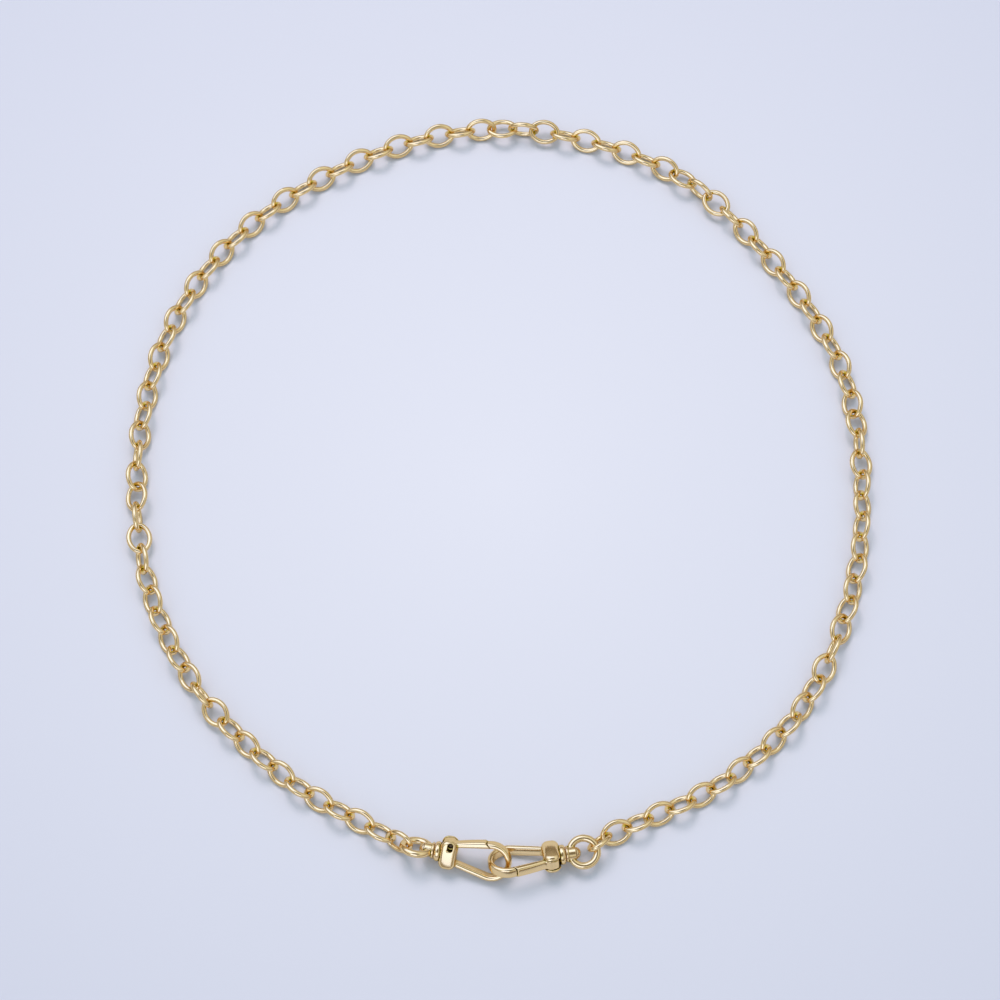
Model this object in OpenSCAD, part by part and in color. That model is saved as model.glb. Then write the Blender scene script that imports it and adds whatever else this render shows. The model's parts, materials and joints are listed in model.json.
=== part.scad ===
// Rolo chain necklace, lying closed in a loop. Oval wire links run all the way round, and the
// two ends carry a swivel clasp each. The clasps are hooked into one another at the front.
// Millimetres, +Z up, origin on the surface under the middle of the necklace.

/* [Chain] */
// Outer length of one link
link_l = 6.3; // [6.1:0.1:6.5]
// Outer width of one link
link_w = 4.9; // [4.7:0.1:5.3]
// Diameter of the wire that the links are bent from
wire_d = 0.92; // [0.8:0.02:0.96]
// Radius of a link's two ends, at the middle of the wire
link_end_r = 1.5; // [1.3:0.05:1.7]
// Least free play between two links that are pulled straight
link_play = 0.17; // [0.15:0.01:0.3]

/* [Swivel rings] */
// Diameter of the swivel ring's wire
ring_wire_d = 1.3; // [1.1:0.05:1.35]
// Diameter of the swivel ring, at the middle of its wire
ring_d = 5; // [4.8:0.1:5.6]
// Diameter of the barrel on the ring that the swivel pin goes through
boss_d = 2.5; // [2.3:0.1:2.7]
// Length of that barrel
boss_l = 1.8; // [1.6:0.1:1.9]
// Diameter of the flange at the barrel's outer end
flange_d = 3; // [2.8:0.1:3.3]
// Thickness of that flange
flange_t = 0.4; // [0.3:0.05:0.5]
// Diameter of the swivel pin
swivel_pin_d = 1.1; // [0.9:0.05:1.2]
// Diameter of the swivel pin's domed head
swivel_head_d = 2.2; // [1.9:0.1:2.3]
// Height of that head
swivel_head_h = 0.8; // [0.6:0.05:0.9]

/* [Clasp body] */
// Length of the collar
collar_l = 3.1; // [2.9:0.05:3.2]
// Width of the collar, across the hook's loop
collar_w = 5.5; // [5.3:0.1:5.8]
// How far the collar stands out towards the gate
collar_shift = 0.15; // [0:0.05:0.2]
// Thickness of the collar
collar_t = 3.85; // [3.7:0.05:4.1]
// Radius of the collar's two corners beside the fixed arm
collar_corner = 0.9; // [0.7:0.05:1.1]
// Radius of the rims round the collar's two faces
collar_rim = 0.6; // [0.4:0.05:0.7]
// Diameter of the round base behind the collar
base_d = 3.6; // [3.4:0.1:3.9]
// Thickness of that base
base_t = 0.75; // [0.6:0.05:0.9]
// Diameter of the neck between the base and the collar
base_neck_d = 2.7; // [2.5:0.1:2.9]
// Length of that neck
base_neck_l = 0.3; // [0.2:0.05:0.4]

/* [Hook] */
// Length of the hook in front of the collar
hook_l = 10; // [9.8:0.1:10.3]
// Outer width of the hook at its bow
bow_w = 7.4; // [7.2:0.1:7.8]
// Distance of the fixed arm's outer face from the middle line, at the collar
arm_out = 2.2; // [2.1:0.05:2.4]
// Thickness of the band at the collar
arm_t = 0.95; // [0.85:0.05:1]
// Thickness of the band at the bow
bow_t = 1.05; // [0.95:0.05:1.15]
// Width of the fixed arm at the collar
arm_h = 1.85; // [1.7:0.05:2]
// Width of the band at the bow
bow_h = 2; // [1.8:0.05:2.15]
// Chamfer along the edges of the band
band_chamfer = 0.26; // [0.15:0.01:0.3]

/* [Gate] */
// Distance of the gate's outer face from the middle line, at the collar
gate_out = 2.6; // [2.4:0.05:2.65]
// Width of the gate at the collar
gate_h = 1.9; // [1.7:0.05:2]
// Distance from the hook's nose to the middle of the seam with the gate
seam_at = 4.5; // [4.5:0.1:5.2]
// Slant of that seam
seam_slant = 40; // [25:1:45]
// Gap between the gate's tip and the hook's tip
seam_gap = 0.1; // [0.08:0.01:0.15]
// Gap between the gate and the walls of its slot
slot_gap = 0.08; // [0.06:0.01:0.12]
// Diameter of the gate's hinge pin
hinge_pin_d = 1; // [0.8:0.05:1.1]
// Distance of the hinge pin from the collar's back
hinge_x = 1.8; // [1.7:0.05:1.9]
// Distance of the hinge pin from the clasp's middle line
hinge_y = 1.95; // [1.85:0.05:2]

/* [Hidden] */
$fn = 48;
eps = 0.01;

// The route of the chain from the left clasp, clockwise seen from above: chosen points on the
// surface that the middle line of the links passes over, from the second link to the last but one.
route = [
    [-21.5, -70], [-38.5, -60], [-56, -42.5], [-67, -18.5], [-69, 10.5], [-62.5, 36], [-48, 56],
    [-24.5, 71], [0, 76.5], [25, 71.5], [44, 59], [62, 34.5], [69, 12.5], [68, -17.5],
    [58, -43.5], [42, -60], [21.5, -70]];
// The two links that thread the swivel rings: x, y, z, heading, climb and roll of each
end_links = [
    [-18, -71.9, 2.62, 159, -36, -59],
    [18.4, -72, 2.65, -125, 37.5, 58]];
// The two clasps: x and y of the point inside the swivel ring where the chain hangs, the heading
// of the hook's nose, the roll of the hook and the roll of its ring
clasps = [
    [-16.6, -72.75, -10.8, 40, -46],
    [17.25, -73.7, 187.4, 36, -10]];
// A link lies rolled over to one side, and the next to the other side
lie_roll = 45;
// Links that lie otherwise, where the chain is twisted: number from the left clasp, roll
turned = [
    [10, -25], [11, 70], [12, -40], [18, -65], [19, 10], [20, 82], [21, -30], [22, 40],
    [23, -70], [24, 40], [48, 55], [49, -15], [50, -88], [51, 25], [58, -25], [59, 85], [60, 15],
    [61, -58], [73, -30], [74, 80], [75, -25], [76, 60], [78, 60], [83, -35], [84, 75], [85, -25],
    [97, -35]];
// How far each hinge pin lies below the collar's face, for the left and the right clasp
pin_sunk = [0.55, 0.05];

// Facets of a link: sides along its oval and sides of its wire
link_sides = 12;
wire_sides = 6;
// Steps of the route between two of its points
span_steps = 12;
// Steps of the collar's round end, of each of its corners, and of the bow
round_steps = 8;
corner_steps = 3;
bow_steps = 12;

// Half sizes of a link at the middle of its wire
link_a = (link_l - wire_d) / 2;
link_b = (link_w - wire_d) / 2;
// The link's long sides are arcs that meet its end arcs without a corner
end_x = link_a - link_end_r;
side_r = (end_x * end_x + link_b * link_b - link_end_r * link_end_r) / (2 * (link_b - link_end_r));
join_angle = atan2(side_r - link_b, end_x);
pitch_max = link_l - 2 * wire_d - link_play;
// The wire's six sides stand a little proud of the round wire at their corners
corner_share = 1.02;
corner_r = wire_d / 2 * corner_share;

// Turns a vector by roll about X, then by climb, then by heading
function turn(v, heading, climb, roll) =
    let (a = [v.x, v.y * cos(roll) - v.z * sin(roll), v.y * sin(roll) + v.z * cos(roll)],
         b = [a.x * cos(climb) - a.z * sin(climb), a.y, a.x * sin(climb) + a.z * cos(climb)])
    [b.x * cos(heading) - b.y * sin(heading), b.x * sin(heading) + b.y * cos(heading), b.z];

// A smooth curve through a list of points: one span of it, then the whole
function span(a, b, c, d, t) =
    let (square = 2 * a - 5 * b + 4 * c - d, cube = 3 * b - a - 3 * c + d)
    (2 * b + (c - a) * t + square * t * t + cube * t * t * t) / 2;
function smooth(p) =
    let (last = len(p) - 1, q = concat([2 * p[0] - p[1]], p, [2 * p[last] - p[last - 1]]))
    [for (i = [1:last]) for (s = [0:span_steps - 1 + (i == last ? 1 : 0)])
        span(q[i - 1], q[i], q[i + 1], q[i + 2], s / span_steps)];
path = smooth(route);
// How far along the path each of its points lies
function runs(p) =
    [for (i = 0, s = 0; i < len(p); i = i + 1, s = s + norm(p[min(i, len(p) - 1)] - p[i - 1])) s];
run = runs(path);
function at(d, i = 0) =
    i >= len(path) - 2 || run[i + 1] > d
        ? path[i] + (path[i + 1] - path[i]) * (d - run[i]) / (run[i + 1] - run[i])
        : at(d, i + 1);

// The links of the run: as many as keep the least play, at one even pitch
steps = ceil(run[len(run) - 1] / pitch_max);
places = [for (k = [0:steps]) at(run[len(run) - 1] * k / steps)];
function listed(k) = [for (row = turned) if (row[0] == k + 1) row[1]];
function roll_at(k) =
    let (own = listed(k)) len(own) > 0 ? own[0] : k == 0 ? lie_roll : -sign(roll_at(k - 1)) * lie_roll;
rolls = [for (k = [0:steps]) roll_at(k)];
// How far the oval's middle line reaches in a direction: its end arc's reach or its side arc's
function reach(a) =
    let (c = abs(cos(a)), d = abs(sin(a)))
    atan2(d, c) <= join_angle ? end_x * c + link_end_r : (link_b - side_r) * d + side_r;
// Corner of the polygon round the oval, where the tangents of two neighbouring directions cross
link_step = 360 / link_sides;
function corner(j) =
    let (a = j * link_step, b = a + link_step)
    [reach(a) * sin(b) - reach(b) * sin(a), reach(b) * cos(a) - reach(a) * cos(b)] / sin(link_step);
link_points = [for (j = [0:link_sides - 1]) for (k = [0:wire_sides - 1])
    let (a = 360 * (k + 0.5) / wire_sides, m = (j + 0.5) * link_step,
         out = corner_r * cos(a) / cos(link_step / 2))
    [corner(j).x + out * cos(m), corner(j).y + out * sin(m), corner_r * sin(a)]];
link_faces = [for (j = [0:link_sides - 1]) for (k = [0:wire_sides - 1])
    let (j2 = (j + 1) % link_sides, k2 = (k + 1) % wire_sides,
         a = j * wire_sides + k, b = j2 * wire_sides + k,
         c = j2 * wire_sides + k2, d = j * wire_sides + k2)
    each [[a, c, b], [a, d, c]]];

// A link's middle is as high as its own lower side needs, and a higher neighbour lifts it
function rest_z(roll) = link_b * sin(abs(roll)) + corner_r;
lift_fall = 0.2;
lift_reach = 4;
function lifted(k) =
    max([for (i = [max(k - lift_reach, 0):min(k + lift_reach, steps)])
        rest_z(rolls[i]) - lift_fall * abs(k - i)]);
heights = [for (k = [0:steps]) lifted(k)];
function depth(climb, roll) = -min([for (p = link_points) turn(p, 0, climb, roll).z]);
function pose(k) =
    let (before = max(k - 1, 0), after = min(k + 1, steps), d = places[after] - places[before],
         climb = atan2(heights[after] - heights[before], norm(d)))
    [places[k].x, places[k].y, max(heights[k], depth(climb, rolls[k])),
     atan2(d.y, d.x), climb, rolls[k]];
links = concat([end_links[0]], [for (k = [0:steps]) pose(k)], [end_links[1]]);

// The middle of the laid necklace, which stands over the origin
middle = [0.27, -0.13, 0];

// Half of the links each, in one shape of loose rings
half = floor(len(links) / 2);
module link_run(from, to) {
    count = len(link_points);
    translate(-middle) polyhedron(
        points = [for (i = [from:to]) for (p = link_points)
            [links[i][0], links[i][1], links[i][2]] + turn(p, links[i][3], links[i][4], links[i][5])],
        faces = [for (i = [0:to - from]) for (f = link_faces) [for (v = f) v + i * count]]);
}

// The clasp's own frame: X towards the nose from the collar's back, Y towards the gate
nose_x = collar_l + hook_l;
base_back = base_t + base_neck_l;
// Running gaps along the swivel and round its pin, and round the hinge pin
swivel_gap = 0.1;
swivel_fit = 0.08;
hinge_fit = 0.05;
boss_front = -base_back - swivel_gap;
boss_back = boss_front - boss_l;
// The ring's wire lies a little behind the barrel's front face
ring_sink = 0.05;
ring_x = boss_front - ring_sink - (ring_d + ring_wire_d) / 2;
hang_x = ring_x - (ring_d - ring_wire_d) / 2;
// The swivel pin is riveted into the base and the neck, short of the gate's slot
pin_end_gap = 0.07;
swivel_pin_depth = base_back - pin_end_gap;

// The middle line of the bow, and of the two arms that run to it from the collar: the fixed arm
// on side -1 and the gate on side 1
bow_r = (bow_w - bow_t) / 2;
bow_x = nose_x - bow_w / 2;
function arm_y(side) = (side < 0 ? arm_out : gate_out) - arm_t / 2;
function arm_reach(side) = norm([bow_x - collar_l, arm_y(side)]);
function arm_slope(side) = asin(bow_r / arm_reach(side)) - atan2(arm_y(side), bow_x - collar_l);
function arm_len(side) = sqrt(arm_reach(side) * arm_reach(side) - bow_r * bow_r);
seam_x = nose_x - seam_at;
seam_share = (seam_x - collar_l) / (arm_len(1) * cos(arm_slope(1)));
// How far the fixed arm and the gate's arm run on into the collar
arm_root = 0.9;
gate_root = 0.65;

// The collar's outline is round on the gate's side and has two corners on the other: each arc's
// centre, radius, angles and steps
collar_top = collar_w / 2 + collar_shift;
collar_low = collar_w / 2 - collar_shift;
collar_arcs = [
    [collar_l / 2, collar_top - collar_l / 2, collar_l / 2, 0, 180, round_steps],
    [collar_corner, collar_corner - collar_low, collar_corner, 180, 270, corner_steps],
    [collar_l - collar_corner, collar_corner - collar_low, collar_corner, 270, 360, corner_steps]];
// Stations through the collar: share of half its thickness, and how far its rim is drawn in there
// as a share of the rim's radius. It swells a little in the middle.
collar_stations = [[-1, 1], [-0.96, 0.5], [-0.84, 0.14], [0, -0.1], [0.84, 0.14], [0.96, 0.5], [1, 1]];
collar_points = [for (s = collar_stations) for (c = collar_arcs) for (k = [0:c[5]])
    let (a = c[3] + (c[4] - c[3]) * k / c[5], r = c[2] - s[1] * collar_rim)
    [c[0] + r * cos(a), c[1] + r * sin(a), s[0] * collar_t / 2]];
// Room that the rolled collar and the rolled bow need below the clasp's middle line
function collar_needs(roll) = -min([for (p = collar_points) p.y * sin(roll) + p.z * cos(roll)]);
function band_needs(roll) =
    max(bow_w / 2 * sin(roll) + (bow_h / 2 - band_chamfer) * cos(roll),
        (bow_w / 2 - band_chamfer) * sin(roll) + bow_h / 2 * cos(roll));
function clasp_z(roll) = max(collar_needs(roll), band_needs(roll));
function clasp_place(c) =
    [c[0], c[1], clasp_z(c[3])] - middle - turn([hang_x, 0, 0], c[2], 0, 0);
module clasp(c, roll) translate(clasp_place(c)) rotate([roll, 0, c[2]]) children();

// A band swept along sections: x, y, direction outwards, thickness, width, slant of the section
function band_ring(s) =
    let (u = s[3] / 2, v = s[4] / 2, e = band_chamfer,
         half_ring = [[u, v - e], [u - e, v], [e - u, v], [-u, v - e]])
    [for (p = concat(half_ring, -half_ring))
        [s[0] + p.x * cos(s[2]) - p.x * tan(s[5]) * sin(s[2]),
         s[1] + p.x * sin(s[2]) + p.x * tan(s[5]) * cos(s[2]), p.y]];
module band(sections) {
    sides = 8;
    last = len(sections) - 1;
    polyhedron(
        points = [for (s = sections) each band_ring(s)],
        faces = concat(
            [[for (k = [sides - 1:-1:0]) k]],
            [for (j = [0:last - 1]) for (k = [0:sides - 1])
                let (a = j * sides + k, b = j * sides + (k + 1) % sides)
                each [[a, b + sides, a + sides], [a, b, b + sides]]],
            [[for (k = [0:sides - 1]) last * sides + k]]));
}
// A section on a straight arm: share 0 at the collar, 1 where the bow begins; side 1 or -1
function arm_section(share, side, h, slant) =
    let (l = arm_len(side) * share, rise = arm_slope(side))
    [collar_l + l * cos(rise), side * (arm_y(side) + l * sin(rise)), side * (90 + rise),
     arm_t + (bow_t - arm_t) * share, h + (bow_h - h) * max(share, 0), slant];
function bow_section(a) = [bow_x + bow_r * cos(a), bow_r * sin(a), a, bow_t, bow_h, 0];

module collar_block() {
    n = len(collar_points) / len(collar_stations);
    last = len(collar_stations) - 1;
    polyhedron(
        points = collar_points,
        faces = concat(
            [[for (k = [0:n - 1]) k]],
            [for (j = [0:last - 1]) for (k = [0:n - 1])
                let (a = j * n + k, b = j * n + (k + 1) % n)
                each [[a, a + n, b + n], [a, b + n, b]]],
            [[for (k = [n - 1:-1:0]) last * n + k]]));
}

module along_x(d, from, to) translate([from, 0, 0]) rotate([0, 90, 0]) cylinder(d = d, h = to - from);

// The slot in the collar that the gate's root turns in
slot_floor = 0.6;
slot_h = gate_h + 2 * slot_gap;
bow_from = -90 - arm_slope(-1);
bow_turn = 90 + arm_slope(1) - bow_from;
module hook_body() {
    difference() {
        union() {
            collar_block();
            band(concat(
                [arm_section(-arm_root / arm_len(-1), -1, arm_h, 0)],
                [for (i = [0:bow_steps - 1]) bow_section(bow_from + bow_turn * i / bow_steps)],
                [arm_section(seam_share + seam_gap / arm_len(1), 1, bow_h, seam_slant)]));
            along_x(base_d, -base_back, -base_neck_l);
            along_x(base_neck_d, -base_neck_l - eps, base_neck_l);
        }
        translate([-collar_rim, slot_floor, -slot_h / 2])
            cube([collar_l + 2 * collar_rim, collar_w, slot_h]);
        translate([hinge_x, hinge_y, -collar_t]) cylinder(d = hinge_pin_d + 2 * eps, h = 2 * collar_t);
        along_x(swivel_pin_d + 2 * eps, -base_back - eps, swivel_pin_depth - base_back);
    }
}

// The gate's root fills the slot from here, and a round knuckle holds the hinge pin
root_back = 0.35;
root_y = 1.05;
knuckle_d = 1.8;
module gate_body() {
    difference() {
        union() {
            band([arm_section(seam_share - seam_gap / arm_len(1), 1, gate_h, seam_slant),
                  arm_section(0, 1, gate_h, 0), arm_section(-gate_root / arm_len(1), 1, gate_h, 0)]);
            intersection() {
                collar_block();
                translate([root_back, root_y, -gate_h / 2]) cube([collar_l, collar_w, gate_h]);
            }
            translate([hinge_x, hinge_y, -gate_h / 2]) cylinder(d = knuckle_d, h = gate_h);
        }
        translate([hinge_x, hinge_y, -gate_h]) cylinder(d = hinge_pin_d + 2 * hinge_fit, h = 2 * gate_h);
    }
}

pin_inset = 0.05;
module hinge_pin_body(sunk) {
    face = collar_t / 2 - pin_inset;
    translate([hinge_x, hinge_y, -face]) cylinder(d = hinge_pin_d, h = 2 * face - sunk);
}

module swivel_pin_body() {
    head_r = (pow(swivel_head_d / 2, 2) + pow(swivel_head_h, 2)) / (2 * swivel_head_h);
    head_x = boss_back - swivel_gap;
    union() {
        along_x(swivel_pin_d, head_x - eps, swivel_pin_depth - base_back - pin_end_gap);
        intersection() {
            translate([head_x - swivel_head_h + head_r, 0, 0]) sphere(r = head_r);
            translate([head_x - swivel_head_d, -swivel_head_d, -swivel_head_d])
                cube([swivel_head_d, 2 * swivel_head_d, 2 * swivel_head_d]);
        }
    }
}

module ring_body() {
    difference() {
        union() {
            translate([ring_x, 0, 0]) rotate_extrude() translate([ring_d / 2, 0]) circle(d = ring_wire_d);
            along_x(boss_d, boss_back, boss_front - eps);
            along_x(flange_d, boss_front - flange_t, boss_front);
        }
        along_x(swivel_pin_d + 2 * swivel_fit, boss_back - eps, boss_front + eps);
    }
}

module chain_left() color("gold") link_run(0, half - 1);
module chain_right() color("gold") link_run(half, len(links) - 1);

// Each piece of a clasp, laid with its hook or with its ring
module laid_hook(c) color("goldenrod") clasp(c, c[3]) hook_body();
module laid_gate(c) color("khaki") clasp(c, c[3]) gate_body();
module laid_hinge_pin(c, sunk) color("darkgoldenrod") clasp(c, c[3]) hinge_pin_body(sunk);
module laid_swivel_pin(c) color("darkgoldenrod") clasp(c, c[3]) swivel_pin_body();
module laid_ring(c) color("gold") clasp(c, c[4]) ring_body();
module left_hook() laid_hook(clasps[0]);
module left_gate() laid_gate(clasps[0]);
module left_hinge_pin() laid_hinge_pin(clasps[0], pin_sunk[0]);
module left_swivel_pin() laid_swivel_pin(clasps[0]);
module left_swivel_ring() laid_ring(clasps[0]);
module right_hook() laid_hook(clasps[1]);
module right_gate() laid_gate(clasps[1]);
module right_hinge_pin() laid_hinge_pin(clasps[1], pin_sunk[1]);
module right_swivel_pin() laid_swivel_pin(clasps[1]);
module right_swivel_ring() laid_ring(clasps[1]);

chain_left();
chain_right();
left_hook();
left_gate();
left_hinge_pin();
left_swivel_pin();
left_swivel_ring();
right_hook();
right_gate();
right_hinge_pin();
right_swivel_pin();
right_swivel_ring();
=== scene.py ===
# %% [markdown]
# # A rolo chain necklace
# The real object is a gold-plated neck chain of plain oval wire links. Its two ends each carry a
# swivel clasp, and the two clasps hang in one another at the front. This lesson dresses the packed
# model of it: the frame below holds each link, clasp and ring in its true place, and every cell
# after it works out one smoother surface in that place.

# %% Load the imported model
import json
import math

import bpy
import numpy as np
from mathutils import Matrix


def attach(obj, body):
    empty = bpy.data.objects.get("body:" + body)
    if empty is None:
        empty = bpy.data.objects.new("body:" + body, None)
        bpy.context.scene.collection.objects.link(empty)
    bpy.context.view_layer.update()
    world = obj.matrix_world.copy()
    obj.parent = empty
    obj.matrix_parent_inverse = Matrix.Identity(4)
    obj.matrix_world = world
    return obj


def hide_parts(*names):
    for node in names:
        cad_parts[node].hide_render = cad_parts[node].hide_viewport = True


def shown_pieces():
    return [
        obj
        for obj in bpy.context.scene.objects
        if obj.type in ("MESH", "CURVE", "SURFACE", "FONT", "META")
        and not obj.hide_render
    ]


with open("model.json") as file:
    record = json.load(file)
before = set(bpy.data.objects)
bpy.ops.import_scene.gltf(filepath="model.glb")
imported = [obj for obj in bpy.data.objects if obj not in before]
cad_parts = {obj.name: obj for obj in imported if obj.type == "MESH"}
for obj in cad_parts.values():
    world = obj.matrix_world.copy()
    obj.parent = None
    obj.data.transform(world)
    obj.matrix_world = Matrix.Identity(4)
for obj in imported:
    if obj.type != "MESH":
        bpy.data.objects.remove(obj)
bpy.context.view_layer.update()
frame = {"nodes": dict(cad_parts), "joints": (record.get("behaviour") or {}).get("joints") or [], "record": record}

MM = 0.001

# %% [markdown]
# ## Meshes from arrays
# A polished surface shows every facet, so each piece gets thousands of small faces. Placing them
# one by one would be slow. Here each piece is a numpy array of points and one of faces, and
# Blender takes whole arrays at once through foreach_set. Distances are in millimetres until then.

# %% A mesh from points and faces
def add_piece(name, points, faces, body, node, hollow=None):
    """Makes a smooth mesh of points in millimetres and equal-sided faces, and gives it its body and
    the node that it stands for. A number for each point may say how enclosed it lies; it sets
    how much shade is painted into the colour there."""
    count, sides = faces.shape
    mesh = bpy.data.meshes.new(name)
    mesh.vertices.add(len(points))
    mesh.vertices.foreach_set("co", (points * MM).ravel())
    mesh.loops.add(count * sides)
    mesh.loops.foreach_set("vertex_index", faces.ravel())
    mesh.polygons.add(count)
    mesh.polygons.foreach_set("loop_start", np.arange(count) * sides)
    mesh.polygons.foreach_set("use_smooth", np.ones(count, bool))
    if hollow is not None:
        mesh.attributes.new("hollow", "FLOAT", "POINT").data.foreach_set("value", hollow)
    mesh.update(calc_edges=True)
    mesh.validate()
    piece = bpy.data.objects.new(name, mesh)
    bpy.context.scene.collection.objects.link(piece)
    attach(piece, body)
    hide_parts(node)
    print(name, "has", len(mesh.vertices), "points and", len(mesh.polygons), "faces")
    return piece


def grid_faces(rows, columns):
    """Four-sided faces of a grid that closes on itself both ways: each joins a point to the next
    in its row and to the two beside them in the next row."""
    i, j = np.meshgrid(np.arange(rows), np.arange(columns), indexing="ij")
    k, l = (i + 1) % rows, (j + 1) % columns
    corners = [i * columns + j, k * columns + j, k * columns + l, i * columns + l]
    return np.stack(corners, -1).reshape(-1, 4)


# %% [markdown]
# ## One link
# A link is a piece of round wire bent to an oval and soldered shut. A torus would be too round, so
# the wire's middle line is built from four arcs: two tight ones at the ends and two flat ones along
# the sides, which meet without a corner. A circle carried along that line sweeps the surface.

# %% The oval and its wire
LINK_L, LINK_W, WIRE_D, END_R = 6.3, 4.9, 0.92, 1.5
LINK_ROWS, LINK_COLUMNS = 64, 20
half_l, half_w = (LINK_L - WIRE_D) / 2, (LINK_W - WIRE_D) / 2
end_x = half_l - END_R
SIDE_R = (end_x ** 2 + half_w ** 2 - END_R ** 2) / (2 * (half_w - END_R))
join = math.atan2(SIDE_R - half_w, end_x)


def oval(turns):
    """Middle line of the wire. A share of the way round gives the direction that the oval faces
    there: the way round is cut into its four arcs by their lengths, and each arc's point is its
    centre plus its radius along that direction."""
    edges = np.array([-join, join, math.pi - join, math.pi + join, 2 * math.pi - join])
    radii = np.array([END_R, SIDE_R, END_R, SIDE_R])
    lengths = np.concatenate([[0], np.cumsum(np.diff(edges) * radii)])
    facing = np.interp(turns * lengths[-1], lengths, edges)
    arc = np.clip(np.searchsorted(edges, facing, side="right") - 1, 0, 3)
    centre_x = np.array([end_x, 0, -end_x, 0])[arc]
    centre_y = np.array([0, half_w - SIDE_R, 0, SIDE_R - half_w])[arc]
    out = np.stack([np.cos(facing), np.sin(facing), 0 * facing], -1)
    return np.stack([centre_x, centre_y, 0 * facing], -1) + radii[arc, None] * out, out


def link_surface():
    """A circle of the wire's radius carried round the oval: the middle line's point, plus the
    cosine part along the facing direction, plus the sine part upwards."""
    middle, out = oval(np.arange(LINK_ROWS) / LINK_ROWS)
    angle = 2 * math.pi * np.arange(LINK_COLUMNS) / LINK_COLUMNS
    circle = np.stack([np.cos(angle), np.sin(angle)], -1) * WIRE_D / 2
    outwards = circle[None, :, :1] * out[:, None]
    upwards = circle[None, :, 1:] * np.array([0, 0, 1])
    return (middle[:, None] + outwards + upwards).reshape(-1, 3)


link_points, link_faces = link_surface(), grid_faces(LINK_ROWS, LINK_COLUMNS)
print("one link:", np.ptp(link_points, axis=0).round(2), "mm")

# %% [markdown]
# ## Ninety-nine links in their places
# Each link lies rolled over against its neighbours, as a chain does on a table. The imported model
# already holds those places as coarse links, so they are measured from it and nothing is typed
# again: the middle of a coarse link is the mean of its corners, and the directions in which it
# spreads most, less and least are its length, its width and its axis.

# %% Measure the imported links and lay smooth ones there
TRIANGLES_PER_LINK = 144
REACH, NEAR_STEPS = 0.6, 48


def link_places(node):
    """Centre and three axes of every link: the corners' mean, and the directions that the matrix
    of their spread turns onto itself."""
    mesh = frame["nodes"][node].data
    points = np.empty(len(mesh.vertices) * 3)
    mesh.vertices.foreach_get("co", points)
    corners = np.empty(len(mesh.loops), int)
    mesh.loops.foreach_get("vertex_index", corners)
    links = points.reshape(-1, 3)[corners].reshape(-1, TRIANGLES_PER_LINK * 3, 3) / MM
    centres = links.mean(axis=1)
    spread = links - centres[:, None]
    axes = np.linalg.eigh(np.einsum("lci,lcj->lij", spread, spread))[1][:, :, ::-1]
    axes[:, :, 2] = np.cross(axes[:, :, 0], axes[:, :, 1])
    return centres, axes


# Closeness sets where painted shade and painted reflection, the amber of gold mirrored in gold, go on each link.
def closeness(laid, middles):
    """How close each point of a link comes to the wire of the link before or after it: 1 where they
    touch, falling to 0 at REACH from it."""
    near = np.full(laid.shape[:2], REACH)
    for first, second in ((slice(None, -1), slice(1, None)), (slice(1, None), slice(None, -1))):
        gaps = [np.linalg.norm(points[:, None] - middle, axis=-1).min(axis=1) - WIRE_D / 2
                for points, middle in zip(laid[first], middles[second])]
        near[first] = np.minimum(near[first], gaps)
    return 1 - near / REACH


for node in ("chain_left", "chain_right"):
    centres, axes = link_places(node)
    laid = centres[:, None] + np.einsum("lij,pj->lpi", axes, link_points)
    middle_line = oval(np.arange(NEAR_STEPS) / NEAR_STEPS)[0]
    middles = centres[:, None] + np.einsum("lij,pj->lpi", axes, middle_line)
    starts = np.arange(len(centres))[:, None, None] * len(link_points)
    add_piece(node + "_wire", laid.reshape(-1, 3), (link_faces + starts).reshape(-1, 4),
              "necklace", node, closeness(laid, middles).ravel())

# %% [markdown]
# ## Castings from distances
# A clasp is cast in one and then filed, so its parts run into one another with small fillets and
# soft edges, which flat modelling tools cut too sharply. A distance function gives both for little:
# it says for any point how far it is from the metal, negative inside. Three rules combine such
# distances, and one function draws the skin where the distance is zero.

# %% Rules that combine distances
def within(walls, r):
    """The metal that lies inside every wall, with edges rounded by r: each wall's distance is
    raised by r, what is positive is added up as squares, and r is taken off the root again."""
    q = np.stack(np.broadcast_arrays(*walls)) + r
    return np.minimum(q.max(axis=0), 0) + np.sqrt((np.maximum(q, 0) ** 2).sum(axis=0)) - r


def joined(a, b, r):
    """Two pieces of metal with a fillet of radius r between them: the same rule turned inside
    out."""
    return -within([-a, -b], r)


def cut(a, hole, r):
    """The metal of a without the hole, with the new edge rounded by r."""
    return within([a, -hole], r)


# %% The skin of a distance function
NEWTON_STEPS, LEAST_SLOPE = 3, 0.1


def slope_at(field, points, nudge):
    """Slope of a distance function: along each axis, the difference between a nudge forwards and
    a nudge back, over the way between them."""
    shifts = np.eye(3) * nudge
    rises = [field(*(points + shift).T) - field(*(points - shift).T) for shift in shifts]
    return np.stack(rises, -1) / (2 * nudge)


def newton_step(field, points, reach):
    """Moves points onto the surface: against the slope, by the distance over the slope."""
    slope = slope_at(field, points, 0.002)
    far = field(*points.T) / np.maximum((slope ** 2).sum(axis=-1), LEAST_SLOPE)
    return points - np.clip(far, -reach, reach)[:, None] * slope


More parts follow.
